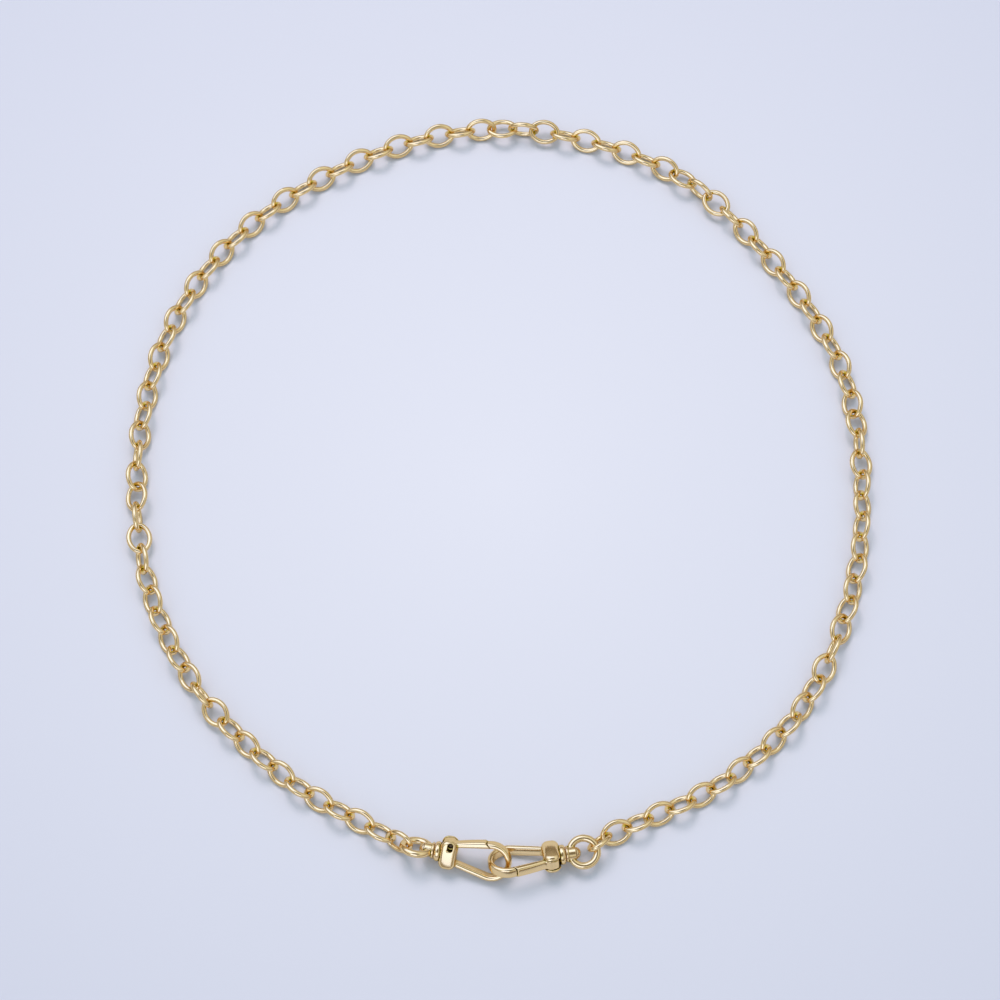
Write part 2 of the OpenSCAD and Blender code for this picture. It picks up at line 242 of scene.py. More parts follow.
def skin(field, low, high, step):
    """Closed surface where a distance is zero. A grid is laid through the box. Each cell that the
    surface passes through gets one point, at the mean of the places where it crosses the cell's
    edges, and each grid edge that it crosses gets a face between the four cells around it."""
    axes = [np.arange(a, b + step, step) for a, b in zip(low, high)]
    value = field(*np.meshgrid(*axes, indexing="ij"))
    inside = value < 0
    shape = np.array(value.shape) - 1
    total, hits = np.zeros((*shape, 3)), np.zeros(shape)
    for axis in range(3):
        a, b = np.moveaxis(value, axis, 0)[:-1], np.moveaxis(value, axis, 0)[1:]
        crossed = (a < 0) != (b < 0)
        share = np.where(crossed, a / np.where(crossed, a - b, 1), 0)
        for pair in ((0, 0), (0, 1), (1, 0), (1, 1)):
            window = (slice(None), *(slice(start, start - 1 or None) for start in pair))
            offset = np.insert(np.array(pair, float), axis, 0)
            mark = np.moveaxis(crossed[window], 0, axis)
            total += mark[..., None] * offset
            total[..., axis] += np.moveaxis((crossed * share)[window], 0, axis)
            hits += mark
    cells = np.argwhere(hits > 0)
    number = np.full(shape, -1)
    number[tuple(cells.T)] = np.arange(len(cells))
    within_cell = total[tuple(cells.T)] / hits[tuple(cells.T)][:, None]
    points = np.array(low) + step * (cells + within_cell)
    faces = []
    for axis in range(3):
        first, second = (axis + 1) % 3, (axis + 2) % 3
        flat = np.transpose(inside, (axis, first, second))
        grid = np.transpose(number, (axis, first, second))
        i, j, k = np.nonzero(flat[:-1, 1:-1, 1:-1] != flat[1:, 1:-1, 1:-1])
        around = grid[i, j, k], grid[i, j + 1, k], grid[i, j + 1, k + 1], grid[i, j, k + 1]
        quads, leaving = np.stack(around, -1), flat[i, j + 1, k + 1]
        faces.append(np.where(leaving[:, None], quads, quads[:, ::-1]))
    for _ in range(NEWTON_STEPS):
        points = newton_step(field, points, step / 2)
    return points, np.concatenate(faces)


# %% [markdown]
# Corners and the bottoms of holes lie in shade, and that shade is painted into the metal's colour.
# The same distance tells where that is. A short way out from an open surface, the distance is as
# long as the way. In a corner it is shorter, because other metal is near.

# %% How enclosed a point lies
WAYS_OUT = (0.25, 0.6, 1.2)


def hollowness(field, points):
    """Share by which the distance falls short of the way out along the slope, averaged over three
    lengths of that way."""
    slope = slope_at(field, points, 0.004)
    normal = slope / np.maximum(np.linalg.norm(slope, axis=-1, keepdims=True), 1e-9)
    short = [np.clip(1 - field(*(points + way * normal).T) / way, 0, 1) for way in WAYS_OUT]
    return sum(short) / len(WAYS_OUT)


# %% [markdown]
# ## The clasp's own frame
# Both clasps are the same casting, laid at different angles. Their pieces are worked out once,
# in a frame of their own, with x along the clasp from the back of its collar to its nose, y towards
# the gate and z along the hinge pin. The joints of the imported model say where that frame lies: the
# swivel turns about x, and the gate about z.

# %% Where each clasp and each ring lies
joints = {joint["name"]: joint for joint in frame["joints"]}
mounts = {mount["name"]: mount for mount in frame["record"]["mounts"]}


def clasp_frame(side, upwards):
    """Origin in millimetres and a turning matrix whose columns are the frame's x, y and z."""
    x = np.array(joints[side + "_swivel"]["axis"])
    z = np.array(upwards)
    x, z = x / np.linalg.norm(x), z / np.linalg.norm(z)
    origin = np.array(joints[side + "_swivel"]["pos_m"]) / MM
    return origin, np.stack([x, np.cross(z, x), z], -1)


def lay(points, place):
    """Points of the clasp's frame, turned and moved to their place."""
    return place[0] + points @ place[1].T


SIDES = ("left", "right")
hook_place = {side: clasp_frame(side, joints[side + "_gate_hinge"]["axis"]) for side in SIDES}
ring_place = {side: clasp_frame(side, mounts[side + "_ring_eye"]["axis"]) for side in SIDES}
print("clasps at:", {side: place[0].round(2).tolist() for side, place in hook_place.items()})

# %% [markdown]
# ## The hook
# The hook is one casting: a collar with two round-topped cheeks, a round base behind it that the
# swivel turns on, and a flat band that leaves the collar, bends round the nose and comes back to
# meet the gate at a slanted seam. Each part is a distance function of a few sizes.

# %% Sizes of the clasp
COLLAR_L, COLLAR_W, COLLAR_SHIFT, COLLAR_T = 3.1, 5.5, 0.15, 3.85
COLLAR_CORNER, GATE_CORNER, COLLAR_RIM = 1.1, 1.3, 0.62
PILLOW_RISE, PILLOW_FALL_X, PILLOW_FALL_Y = 0.05, 0.24, 0.2
SLOT_GAP, SLOT_FLOOR, SLOT_EDGE = 0.08, 0.6, 0.2
BASE_D, BASE_BACK, BASE_FRONT, BASE_RIM = 3.6, -1.05, 0.2, 0.54
NECK_D, NECK_BACK, NECK_FRONT, NECK_RIM = 2.7, -0.65, 0.6, 0.1
NOSE_X, BOW_W, BOW_T, BOW_H = 13.1, 7.4, 1.05, 2.0
ARM_OUT, GATE_OUT, ARM_T, ARM_H, GATE_H = 2.2, 2.6, 0.95, 1.85, 1.9
ARM_ROOT, GATE_ROOT, ARM_FILLET, BASE_FILLET = 0.9, 0.65, 0.2, 0.04
EDGE_R, BOW_EDGE_R, GATE_EDGE_GROWTH, CROWN, GATE_SWELL = 0.34, 0.42, 0.1, 0.07, 0.22
SEAM_AT, SEAM_SLANT, SEAM_GAP, SEAM_EDGE = 4.5, math.radians(40), 0.07, 0.06
HINGE_X, HINGE_Y, HINGE_R = 1.8, 1.95, 0.5

bow_x, bow_r = NOSE_X - BOW_W / 2, (BOW_W - BOW_T) / 2


def arm_line(out):
    """Slope and length of the straight arm whose outer face starts at out: the tangent from its
    start at the collar to the bow's circle."""
    run, rise = bow_x - COLLAR_L, out - ARM_T / 2
    reach = math.hypot(run, rise)
    return math.asin(bow_r / reach) - math.atan2(rise, run), math.sqrt(reach ** 2 - bow_r ** 2)


arm_slope, arm_len = arm_line(ARM_OUT)
gate_slope, gate_len = arm_line(GATE_OUT)
seam_m = (NOSE_X - SEAM_AT - COLLAR_L) / math.cos(gate_slope)
print("arm slopes:", round(math.degrees(arm_slope), 1), round(math.degrees(gate_slope), 1), "degrees")

# %% Distances of the collar, the base and the band
def outline(x, y):
    """Distance from the collar's outline: a rectangle whose corners are rounded, a little more
    towards the gate than towards the fixed arm."""
    u, v = np.abs(x - COLLAR_L / 2), y - COLLAR_SHIFT
    corner = np.where(v > 0, GATE_CORNER, COLLAR_CORNER)
    p, q = u - COLLAR_L / 2 + corner, np.abs(v) - COLLAR_W / 2 + corner
    return np.minimum(np.maximum(p, q), 0) + np.hypot(np.maximum(p, 0), np.maximum(q, 0)) - corner


def disc(x, y, z, back, front, d, r):
    """Distance from a round disc along the clasp from back to front, with its rim rounded by r."""
    return within([np.hypot(y, z) - d / 2, np.abs(x - (back + front) / 2) - (front - back) / 2], r)


def along(x, y, slope, side):
    """Where a point is along a straight arm from the collar, and how far outwards from its middle
    line."""
    rise = (ARM_OUT if side < 0 else GATE_OUT) - ARM_T / 2
    dx, dy = x - COLLAR_L, side * y - rise
    return dx * math.cos(slope) + dy * math.sin(slope), dy * math.cos(slope) - dx * math.sin(slope)


def section(outwards, z, t, h, edge, more=()):
    """Distance from a band of thickness t and width h with rounded edges, whose two broad faces
    fall away from their middle by the square of the share of the width."""
    fall = CROWN * (2 * z / h) ** 2
    return within([np.abs(outwards) - t / 2 + fall, np.abs(z) - h / 2, *more], edge)


FAR = 9


def band(x, y, z):
    """Distances from the fixed arm, from the tip as far as the seam and from the bow. Each holds
    in its own part of the plane and is far elsewhere."""
    m, v = along(x, y, arm_slope, -1)
    share = np.clip(m / arm_len, 0, 1)
    edge = EDGE_R + (BOW_EDGE_R - EDGE_R) * share ** 2
    thick, wide = ARM_T + (BOW_T - ARM_T) * share, ARM_H + (BOW_H - ARM_H) * share
    fixed = section(v, z, thick, wide, edge, [-m - ARM_ROOT])
    bow = section(np.hypot(x - bow_x, y) - bow_r, z, BOW_T, BOW_H, BOW_EDGE_R)
    n, w = along(x, y, gate_slope, 1)
    tip_wall = (seam_m + SEAM_GAP - n - w * math.tan(SEAM_SLANT)) * math.cos(SEAM_SLANT)
    tip = within([section(w, z, BOW_T, BOW_H, BOW_EDGE_R), tip_wall], SEAM_EDGE)
    on_arm, on_tip = (m < arm_len) & (y < 0), (n < gate_len) & (y > 0)
    on_bow = (m >= arm_len) & (y <= 0) | (n >= gate_len) & (y > 0)
    return np.where(on_arm, fixed, FAR), np.where(on_tip, tip, FAR), np.where(on_bow, bow, FAR)


def collar(x, y, z):
    """Distance from the collar: its outline, its two faces, which swell in the middle as a pillow
    does, and the slot for the gate."""
    fall = PILLOW_FALL_X * ((x - COLLAR_L / 2) / COLLAR_L * 2) ** 2 \
        + PILLOW_FALL_Y * ((y - COLLAR_SHIFT) / COLLAR_W * 2) ** 2
    faces = np.abs(z) - COLLAR_T / 2 - PILLOW_RISE + fall
    block = within([outline(x, y), faces], COLLAR_RIM)
    slot_wall = np.maximum(SLOT_FLOOR - y, np.abs(z) - GATE_H / 2 - SLOT_GAP)
    return cut(block, slot_wall, SLOT_EDGE)


def pin_hole(x, y, low=0.0, high=0.0):
    """Distance from the wall of the hinge hole, which may be worn longer downwards and upwards."""
    return np.hypot(x - HINGE_X, y - np.clip(y, HINGE_Y - low, HINGE_Y + high)) - HINGE_R


WORN, WORN_FROM = (0.42, 0.2), 0.9
NICK_BACK, NICK_DOWN, NICK_R = 0.34, 0.66, 0.3
PIN_GAP, HIDDEN_DEPTH, HIDDEN_EDGE, HOLE_EDGE = 0.01, 0.25, 0.05, 0.1
SWIVEL_HOLE_R, SWIVEL_HOLE_END, SWIVEL_HOLE_EDGE = 0.56, -0.07, 0.03


def hook(x, y, z, open_hole):
    """Distance from the whole hook. On the left clasp the pin has sunk, and its hole shows, worn
    and with a nick below it. On the right one the pin's ends were polished over."""
    base = disc(x, y, z, BASE_BACK, BASE_FRONT, BASE_D, BASE_RIM)
    neck = disc(x, y, z, NECK_BACK, NECK_FRONT, NECK_D, NECK_RIM)
    body = joined(np.minimum(collar(x, y, z), neck), base, BASE_FILLET)
    arm, tip, bow = band(x, y, z)
    body = np.minimum(joined(body, np.minimum(arm, bow), ARM_FILLET), tip)
    hole = pin_hole(x, y) - PIN_GAP
    if open_hole:
        hole = np.minimum(hole, np.where(z > WORN_FROM, pin_hole(x, y, *WORN), FAR))
        nick = np.hypot(x - HINGE_X + NICK_BACK, y - HINGE_Y + NICK_DOWN) - NICK_R
        hole = np.minimum(hole, nick + np.maximum(COLLAR_T / 2 - z, 0))
    else:
        hole = within([hole, np.abs(z) - COLLAR_T / 2 + HIDDEN_DEPTH], HIDDEN_EDGE)
    body = cut(body, hole, HOLE_EDGE)
    swivel_hole = np.maximum(np.hypot(y, z) - SWIVEL_HOLE_R, x - SWIVEL_HOLE_END)
    return cut(body, swivel_hole, SWIVEL_HOLE_EDGE)


# %% [markdown]
# ## The gate
# The gate is the clasp's sprung arm. Its root is as round as the cheeks beside it and turns on the
# hinge pin in the slot between them, and its tip lies inside the slant of the hook's tip, so it can
# only open inwards.

# %% Distances of the gate
ROOT_INSET, ROOT_SIDE, ROOT_BACK, ROOT_FLOOR, ROOT_EDGE = 0.1, 0.05, 0.35, 1.05, 0.16
KNUCKLE_R, KNUCKLE_EDGE, KNUCKLE_FILLET = 0.9, 0.1, 0.1
GATE_HOLE_GAP, GATE_HOLE_EDGE = 0.05, 0.03


def gate(x, y, z):
    """Distance from the gate: the arm as far as the seam, which swells outwards in its middle,
    the round root and the pin's hole."""
    n, w = along(x, y, gate_slope, 1)
    share = np.clip(n / gate_len, 0, 1)
    seam_wall = (n + w * math.tan(SEAM_SLANT) - seam_m + SEAM_GAP) * math.cos(SEAM_SLANT)
    more = GATE_SWELL * share * (1.6 - share) / 0.6
    thick, wide = ARM_T + (BOW_T - ARM_T) * share + more, GATE_H + (BOW_H - GATE_H) * share
    edge = EDGE_R + GATE_EDGE_GROWTH * share
    arm = section(w - more / 2, z, thick, wide, edge, [-n - GATE_ROOT])
    arm = within([arm, seam_wall], SEAM_EDGE)
    side, from_pin = np.abs(z) - GATE_H / 2, np.hypot(x - HINGE_X, y - HINGE_Y)
    root = within([outline(x, y) + ROOT_INSET, side + ROOT_SIDE, ROOT_BACK - x, ROOT_FLOOR - y],
                  ROOT_EDGE)
    knuckle = within([from_pin - KNUCKLE_R, side], KNUCKLE_EDGE)
    body = joined(joined(root, knuckle, KNUCKLE_FILLET), arm, ARM_FILLET)
    return cut(body, from_pin - HINGE_R - GATE_HOLE_GAP, GATE_HOLE_EDGE)


# %% [markdown]
# The skin's grid is fine enough for the soft edges of the band, and the same functions serve both
# clasps. The painted brown shade of the corners takes the hook and the gate together, so the slot
# and the seam between them are painted dark on both sides.

# %% Cast the hooks and the gates
HOOK_BOX, HOOK_STEP = ((-1.25, -3.95, -2.2), (13.3, 3.95, 2.2)), 0.085
GATE_BOX, GATE_STEP = ((0.1, 0.7, -1.2), (9.6, 4.1, 1.2)), 0.08
# Shade is painted darker with depth in the pin holes, by HOLE_DARKENING for each millimetre.
HOLE_DARKENING, HOLE_WALL = 2, 0.05


def clasp_fields(side):
    """Two distances for one side: from its hook, and from its hook and gate together."""
    def casting(x, y, z):
        return hook(x, y, z, side == "left")

    def clasp(x, y, z):
        return np.minimum(casting(x, y, z), gate(x, y, z))
    return casting, clasp


for side in SIDES:
    casting, clasp = clasp_fields(side)
    points, faces = skin(casting, *HOOK_BOX, HOOK_STEP)
    x, y, z = points.T
    # Inside the left clasp's open pin hole, shade is painted darker the deeper a point lies.
    in_hole = (pin_hole(x, y, *WORN) < HOLE_WALL) & (z > WORN_FROM) & (side == "left")
    depth = in_hole * (COLLAR_T / 2 - z) * HOLE_DARKENING
    add_piece(side + "_hook_casting", lay(points, hook_place[side]), faces, "necklace",
              side + "_hook", np.maximum(hollowness(clasp, points), depth))

for side in SIDES:
    points, faces = skin(gate, *GATE_BOX, GATE_STEP)
    add_piece(side + "_gate_arm", lay(points, hook_place[side]), faces, side + "_gate",
              side + "_gate", hollowness(clasp_fields(side)[1], points))

# %% [markdown]
# ## The swivel ring
# The ring is a closed ring of thicker wire, soldered round a short barrel that the swivel pin goes
# through. The solder leaves a fillet between them.

# %% Solder the two rings
RING_D, RING_WIRE_D, RING_STEP = 5.0, 1.3, 0.075
BARREL_D, BARREL_L, BARREL_RIM, BARREL_GAP = 2.5, 1.8, 0.12, 0.1
FLANGE_D, FLANGE_T, FLANGE_RIM = 3.0, 0.4, 0.14
SOLDER_R, FLANGE_FILLET = 0.1, 0.05
BORE_R, BORE_REACH, BORE_EDGE = 0.63, 0.3, 0.04
barrel_front = BASE_BACK - BARREL_GAP
barrel_back = barrel_front - BARREL_L
ring_x = barrel_front - 0.05 - (RING_D + RING_WIRE_D) / 2


def ring(x, y, z):
    """Distance from the ring: a torus, a barrel, its flange and the hole through the last two,
    which ends a little behind the barrel so that it leaves the ring's far side whole."""
    wire = np.hypot(np.hypot(x - ring_x, y) - RING_D / 2, z) - RING_WIRE_D / 2
    barrel = disc(x, y, z, barrel_back, barrel_front, BARREL_D, BARREL_RIM)
    flange = disc(x, y, z, barrel_front - FLANGE_T, barrel_front, FLANGE_D, FLANGE_RIM)
    body = joined(joined(wire, barrel, SOLDER_R), flange, FLANGE_FILLET)
    bore = np.maximum(np.hypot(y, z) - BORE_R, barrel_back - BORE_REACH - x)
    return cut(body, bore, BORE_EDGE)


for side in SIDES:
    points, faces = skin(ring, (ring_x - 3.4, -3.4, -1.7), (barrel_front + 0.2, 3.4, 1.7), RING_STEP)
    add_piece(side + "_ring_wire", lay(points, ring_place[side]), faces, side + "_ring",
              side + "_swivel_ring", hollowness(ring, points))

# %% [markdown]
# ## The pins
# The swivel pin's head is a small dome, and the hinge pin is a plain rod that was cut and filed
# flush. Both are turned shapes, so a profile is spun round a line: each row of the surface is one
# circle, and the first and last circle shrink to nothing on the line.

# %% Turn the pins
PIN_COLUMNS = 48


def spun(distance, radius):
    """Rows of circles: the profile's radius times the cosine and the sine of the angle. The two
    ends are one point each."""
    angle = 2 * math.pi * np.arange(PIN_COLUMNS) / PIN_COLUMNS
    rows = np.stack([np.outer(distance, np.ones(PIN_COLUMNS)), np.outer(radius, np.cos(angle)),
                     np.outer(radius, np.sin(angle))], -1).reshape(-1, 3)
    ends = np.array([[distance[0], 0, 0], [distance[-1], 0, 0]])
    return np.concatenate([rows, ends])


def spun_faces(rows, columns=PIN_COLUMNS):
    """Two triangles for each place between two circles, and a fan at each end."""
    i, j = np.meshgrid(np.arange(rows - 1), np.arange(columns), indexing="ij")
    a, b = i * columns + j, i * columns + (j + 1) % columns
    body = np.concatenate([np.stack([a, b, b + columns], -1).reshape(-1, 3),
                           np.stack([a, b + columns, a + columns], -1).reshape(-1, 3)])
    k = np.arange(columns)
    l, last = (k + 1) % columns, (rows - 1) * columns
    first_end, last_end = rows * columns, rows * columns + 1
    fans = [np.stack([np.full(columns, first_end), l, k], -1),
            np.stack([np.full(columns, last_end), last + k, last + l], -1)]
    return np.concatenate([body, *fans])


HEAD_D, HEAD_H, PIN_D, PIN_END = 2.2, 0.8, 1.1, -0.14
DOME_ROWS, RIM_ROWS = 24, 6
head_x = barrel_back - 0.1
head_r = ((HEAD_D / 2) ** 2 + HEAD_H ** 2) / (2 * HEAD_H)
cap = math.asin(HEAD_D / 2 / head_r)
bend = np.linspace(0.02, 1, DOME_ROWS) * cap
dome_x = head_x - HEAD_H + head_r * (1 - np.cos(bend))
rim_x = head_x + 0.03 * np.sin(np.linspace(0, math.pi, RIM_ROWS))
rim_r = np.linspace(HEAD_D / 2, HEAD_D / 2 - 0.1, RIM_ROWS)
swivel_x = np.concatenate([dome_x, rim_x, [head_x, head_x, PIN_END - 0.06, PIN_END]])
swivel_r = np.concatenate([head_r * np.sin(bend), rim_r,
                           PIN_D / 2 + np.array([0.02, 0, 0, -0.06])])
for side in SIDES:
    add_piece(side + "_swivel_rivet", lay(spun(swivel_x, swivel_r), ring_place[side]),
              spun_faces(len(swivel_x)), "necklace", side + "_swivel_pin")

PIN_SUNK = {"left": (0.85, 0.02), "right": (0.25, 0.25)}
for side in SIDES:
    top, foot = COLLAR_T / 2 - 0.05 - np.array(PIN_SUNK[side])
    rod_x = np.concatenate([np.array([0, 0, 0.05, 0.1]) - foot, top + np.array([-0.1, -0.05, 0, 0.02])])
    rod_r = HINGE_R - np.array([0.3, 0.05, 0.015, 0, 0, 0.015, 0.05, 0.3])
    rod = spun(rod_x, rod_r)[:, [1, 2, 0]] + np.array([HINGE_X, HINGE_Y, 0])
    # On the hinge rods, shade is painted darker the deeper they lie in their holes.
    depth = (COLLAR_T / 2 - np.abs(rod[:, 2])) * HOLE_DARKENING
    add_piece(side + "_hinge_rod", lay(rod, hook_place[side]), spun_faces(len(rod_x)),
              "necklace", side + "_hinge_pin", depth)

# %% [markdown]
# ## Polished gold plate
# Polished gold has no colour of its own to speak of: it tints what it reflects. Its metal colour
# is given below, and what makes it look real is that no surface is perfect. A shared node group
# gives a slow change of tint, faint waves left by the buffing wheel, and a haze of fine scratches
# that makes some patches a little rougher. Every pattern lives in Object coordinates.

# %% The effect that all metals share
def polish_group():
    """Node group with the sizes of the waves and scratches as inputs. It puts out a tint mask, a
    haze mask and two heights."""
    group = bpy.data.node_groups.new("Buffed surface", "ShaderNodeTree")
    for name, value in (("Wave scale", 700.0), ("Scratch scale", 9000.0), ("Tint scale", 160.0)):
        socket = group.interface.new_socket(name, in_out="INPUT", socket_type="NodeSocketFloat")
        socket.default_value = value
    for name in ("Tint", "Haze", "Waves", "Scratches"):
        group.interface.new_socket(name, in_out="OUTPUT", socket_type="NodeSocketFloat")
    nodes, links = group.nodes, group.links
    inputs, outputs = nodes.new("NodeGroupInput"), nodes.new("NodeGroupOutput")
    place = nodes.new("ShaderNodeTexCoord").outputs["Object"]

    def noise(scale_name, detail, stretch=(1, 1, 1)):
        mapping, texture = nodes.new("ShaderNodeMapping"), nodes.new("ShaderNodeTexNoise")
        mapping.inputs["Scale"].default_value = stretch
        links.new(place, mapping.inputs["Vector"])
        links.new(mapping.outputs["Vector"], texture.inputs["Vector"])
        links.new(inputs.outputs[scale_name], texture.inputs["Scale"])
        texture.inputs["Detail"].default_value = detail
        return texture.outputs["Fac"]

    links.new(noise("Tint scale", 3), outputs.inputs["Tint"])
    links.new(noise("Wave scale", 2), outputs.inputs["Waves"])
    links.new(noise("Scratch scale", 4, (0.25, 1, 0.6)), outputs.inputs["Scratches"])
    haze = nodes.new("ShaderNodeMapRange")
    haze.inputs["From Min"].default_value = 0.35
    haze.inputs["From Max"].default_value = 0.7
    links.new(noise("Wave scale", 5, (0.7, 0.7, 0.7)), haze.inputs["Value"])
    links.new(haze.outputs["Result"], outputs.inputs["Haze"])
    return group


buffed = polish_group()
print("shared effect:", buffed.name, "with", len(buffed.nodes), "nodes")

# %% [markdown]
# Each finish places the group once. The tint mask mixes two golds, the haze mask moves the
# roughness between two values, and the heights go through two Bump nodes. The bumps are a few
# thousandths of a millimetre at most, for they only bend the reflections. How enclosed a point
# lies sets the painted shade: a colour painted into corners, and a dark one into the depth of holes.

# %% One material for each finish
PALE, WARM = (0.92, 0.695, 0.37), (0.90, 0.65, 0.295)
PIN_PALE, PIN_WARM = (0.86, 0.65, 0.36), (0.80, 0.58, 0.29)
# Colours of painted shade: AMBER is painted reflection and shade where links touch, BROWN and UMBER are painted
# shade in corners, DARK is painted shade at the bottom of holes.
AMBER, BROWN = (0.78, 0.60, 0.04), (0.50, 0.37, 0.035)
UMBER, DARK = (0.22, 0.14, 0.03), (0.05, 0.03, 0.01)
CORNER_FROM, CORNER_TO, DEPTH_FROM, DEPTH_TO = 0.15, 0.55, 0.52, 0.98
EDGE_TINT, COAT, COAT_ROUGHNESS = (0.82, 0.67, 0.40, 1), 0.15, 0.12
WAVE_HEIGHT, SCRATCH_HEIGHT = 0.002, 0.0004


def gold_plate(name, pale, warm, smooth, dull, corner):
    """Metal whose colour runs from pale to warm and whose roughness runs from smooth to dull. In
    corners a third colour is painted in as shade, and in the depth of holes a dark one."""
    material = bpy.data.materials.new(name)
    material.use_nodes = True
    nodes, links = material.node_tree.nodes, material.node_tree.links
    metal = nodes["Principled BSDF"]
    metal.inputs["Metallic"].default_value = 1.0
    effect = nodes.new("ShaderNodeGroup")
    effect.node_tree = buffed
    colour = nodes.new("ShaderNodeMix")
    colour.data_type = "RGBA"
    colour.inputs["A"].default_value = (*pale, 1)
    colour.inputs["B"].default_value = (*warm, 1)
    links.new(effect.outputs["Tint"], colour.inputs["Factor"])
    hollow, tone = nodes.new("ShaderNodeAttribute"), colour.outputs["Result"]
    hollow.attribute_name = "hollow"
    for shade, low, high in ((corner, CORNER_FROM, CORNER_TO), (DARK, DEPTH_FROM, DEPTH_TO)):
        share, painted_shade_mix = nodes.new("ShaderNodeMapRange"), nodes.new("ShaderNodeMix")
        share.inputs["From Min"].default_value = low
        share.inputs["From Max"].default_value = high
        painted_shade_mix.data_type = "RGBA"
        painted_shade_mix.inputs["B"].default_value = (*shade, 1)
        links.new(hollow.outputs["Fac"], share.inputs["Value"])
        links.new(share.outputs["Result"], painted_shade_mix.inputs["Factor"])
        links.new(tone, painted_shade_mix.inputs["A"])
        tone = painted_shade_mix.outputs["Result"]
    links.new(tone, metal.inputs["Base Color"])
    metal.inputs["Specular Tint"].default_value = EDGE_TINT
    metal.inputs["Coat Weight"].default_value = COAT
    metal.inputs["Coat Roughness"].default_value = COAT_ROUGHNESS
    rough = nodes.new("ShaderNodeMapRange")
    rough.inputs["To Min"].default_value = smooth
    rough.inputs["To Max"].default_value = dull
    links.new(effect.outputs["Haze"], rough.inputs["Value"])
    links.new(rough.outputs["Result"], metal.inputs["Roughness"])
    waves, scratches = nodes.new("ShaderNodeBump"), nodes.new("ShaderNodeBump")
    for bump, height, source in ((waves, WAVE_HEIGHT, "Waves"),
                                 (scratches, SCRATCH_HEIGHT, "Scratches")):
        bump.inputs["Distance"].default_value = height * MM
        links.new(effect.outputs[source], bump.inputs["Height"])
    links.new(waves.outputs["Normal"], scratches.inputs["Normal"])
    links.new(scratches.outputs["Normal"], metal.inputs["Normal"])
    return material


finishes = {
    # On the links the corner colour is painted reflection and painted shade where the links touch.
    "links": gold_plate("Gold plate on the links", PALE, WARM, 0.09, 0.16, AMBER),
    "hooks": gold_plate("Gold plate on the castings", PALE, WARM, 0.09, 0.16, BROWN),
    "gates": gold_plate("Gold plate on the gates", PALE, WARM, 0.09, 0.16, BROWN),
    "rings": gold_plate("Gold plate on the rings", PALE, WARM, 0.11, 0.18, BROWN),
    "pins": gold_plate("Gold plate on the pins", PIN_PALE, PIN_WARM, 0.16, 0.28, UMBER)}
slot_of = {sub["node"]: sub["material_slot"] for sub in frame["record"]["subparts"]}
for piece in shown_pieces():
    kind = "links" if piece.name.startswith("chain") else piece.name.split("_")[1] + "s"
    kind = kind if kind in finishes else "pins"
    piece.data.materials.clear()
    piece.data.materials.append(finishes[kind])
for node, piece in frame["nodes"].items():
    for part in piece.material_slots:
        part.material = finishes[slot_of[node]]
print("finishes:", sorted(finishes))

# %% [markdown]
# ## Floor, light and camera
# A chain like this is photographed on a pale board under soft lamps. The key lamp stands behind
# the necklace, as seen from the camera, so each wire throws a short soft shadow towards the viewer,
# and a wide lamp overhead fills those shadows. Polished metal would show the lamps as glaring
# squares, so photographers hang sheets of diffuser before them. Here the two lamps light only the
# board, and two wide bluish sheets, one behind and one in front, are what the metal mirrors. The
# camera looks steeply down.

# %% The floor
FLOOR_REACH = 2.5
floor_mesh = bpy.data.meshes.new("floor")
corners = [(FLOOR_REACH * x, FLOOR_REACH * y, 0) for x, y in ((-1, -1), (1, -1), (1, 1), (-1, 1))]
floor_mesh.from_pydata(corners, [], [(0, 1, 2, 3)])
floor = bpy.data.objects.new("floor", floor_mesh)
bpy.context.scene.collection.objects.link(floor)
board = bpy.data.materials.new("Pale board")
board.use_nodes = True
nodes, links = board.node_tree.nodes, board.node_tree.links
paint = nodes["Principled BSDF"]
paint.inputs["Roughness"].default_value = 0.9
paint.inputs["Specular IOR Level"].default_value = 0.1
# The board's colour is painted darker with distance from the necklace: a painted falloff of the lamps' light.
place, far = nodes.new("ShaderNodeTexCoord"), nodes.new("ShaderNodeVectorMath")
painted_falloff = nodes.new("ShaderNodeValToRGB")
far.operation = "LENGTH"
near, beyond = painted_falloff.color_ramp.elements
near.color = (0.72, 0.74, 0.84, 1)
beyond.position, beyond.color = 0.2, (0.57, 0.60, 0.72, 1)
links.new(place.outputs["Object"], far.inputs[0])
links.new(far.outputs["Value"], painted_falloff.inputs["Fac"])
links.new(painted_falloff.outputs["Color"], paint.inputs["Base Color"])
floor_mesh.materials.append(board)

# %% The lamps
def soft_lamp(name, place, size, power, colour):
    """A square lamp that faces the necklace."""
    lamp = bpy.data.lights.new(name, "AREA")
    lamp.shape, lamp.size, lamp.energy, lamp.color = "SQUARE", size, power, colour
    holder = bpy.data.objects.new(name, lamp)
    holder.location = place
    away = np.array(place) / np.linalg.norm(place)
    holder.rotation_euler = (math.acos(away[2]), 0, math.atan2(away[1], away[0]) + math.pi / 2)
    bpy.context.scene.collection.objects.link(holder)
    return holder


key = soft_lamp("key lamp", (-0.18, 0.67, 1.20), 0.60, 7.8, (1.17, 0.97, 0.93))
fill = soft_lamp("fill lamp overhead", (0, 0.05, 1.20), 1.60, 3.0, (0.66, 1.02, 1.10))
key.visible_glossy = fill.visible_glossy = False
sheet = soft_lamp("sheet before the key lamp", (-0.36, 0.36, 0.74), 1.0, 2.0, (0.75, 1.05, 2.3))
panel = soft_lamp("front panel", (-0.22, -0.70, 0.46), 0.60, 0.95, (0.85, 1.1, 2.0))
sheet.visible_diffuse = panel.visible_diffuse = False

# %% [markdown]
# Metal shows the whole room. In a plain grey world it would look flat. This room has pale walls that
# grow dimmer and warmer towards the table, and a warm dark patch overhead, where the camera hangs
# under an unlit ceiling. That patch draws the brown streak between the two highlights of a wire.
# A camera that looks past the board's edge sees a plain pale backdrop in place of the room.

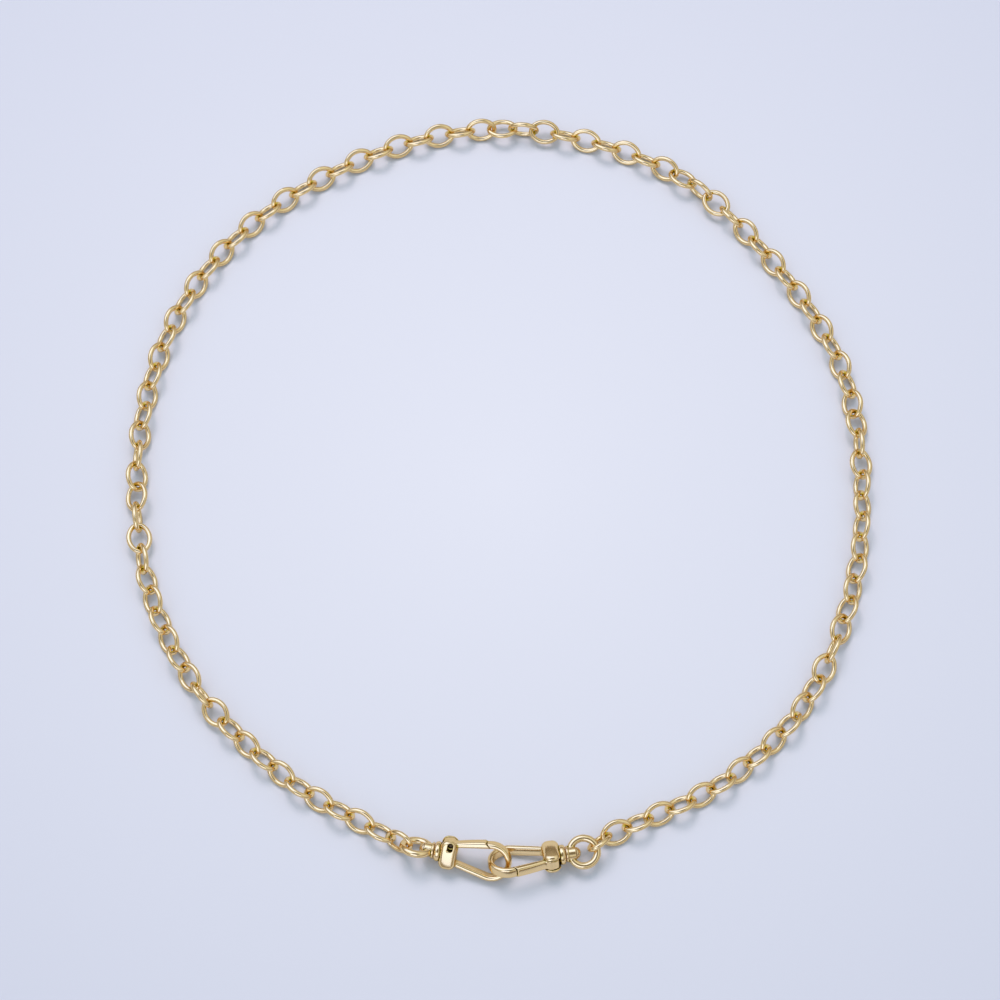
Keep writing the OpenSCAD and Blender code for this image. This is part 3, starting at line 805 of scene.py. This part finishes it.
# %% The room
world = bpy.data.worlds.new("Studio")
world.use_nodes = True
room = world.node_tree
direction, height = room.nodes.new("ShaderNodeTexCoord"), room.nodes.new("ShaderNodeSeparateXYZ")
walls = room.nodes.new("ShaderNodeValToRGB")
for at, position, colour in ((0, 0, (0.16, 0.13, 0.10, 1)), (1, 0.8, (0.82, 0.90, 0.96, 1))):
    walls.color_ramp.elements[at].position = position
    walls.color_ramp.elements[at].color = colour
walls.color_ramp.elements.new(0.4).color = (0.54, 0.53, 0.52, 1)
towards, patch = room.nodes.new("ShaderNodeVectorMath"), room.nodes.new("ShaderNodeMapRange")
towards.operation = "DOT_PRODUCT"
towards.inputs[1].default_value = (0, -0.25, 0.97)
patch.interpolation_type = "SMOOTHSTEP"
for socket, value in (("From Min", 0.84), ("From Max", 0.97), ("To Max", 0.85)):
    patch.inputs[socket].default_value = value
ceiling = room.nodes.new("ShaderNodeMix")
ceiling.data_type = "RGBA"
ceiling.inputs["B"].default_value = (0.12, 0.09, 0.06, 1)
room.links.new(direction.outputs["Generated"], height.inputs["Vector"])
room.links.new(height.outputs["Z"], walls.inputs["Fac"])
room.links.new(direction.outputs["Generated"], towards.inputs[0])
room.links.new(towards.outputs["Value"], patch.inputs["Value"])
room.links.new(walls.outputs["Color"], ceiling.inputs["A"])
room.links.new(patch.outputs["Result"], ceiling.inputs["Factor"])
sight, backdrop = room.nodes.new("ShaderNodeLightPath"), room.nodes.new("ShaderNodeMix")
backdrop.data_type = "RGBA"
backdrop.inputs["B"].default_value = (0.60, 0.64, 0.75, 1)
room.links.new(ceiling.outputs["Result"], backdrop.inputs["A"])
room.links.new(sight.outputs["Is Camera Ray"], backdrop.inputs["Factor"])
room.links.new(backdrop.outputs["Result"], room.nodes["Background"].inputs["Color"])
bpy.context.scene.world = world

# %% The camera
FOCAL_LENGTH, SENSOR, TILT = 97.3, 36.0, math.radians(22.5)
lens = bpy.data.cameras.new("camera")
lens.lens, lens.sensor_width, lens.clip_start = FOCAL_LENGTH, SENSOR, 0.01
camera = bpy.data.objects.new("camera", lens)
camera.location = (0.00003, -0.20207, 0.47886)
camera.rotation_euler = (TILT, 0, 0)
bpy.context.scene.collection.objects.link(camera)
bpy.context.scene.camera = camera
bpy.context.scene.view_settings.view_transform = "Standard"
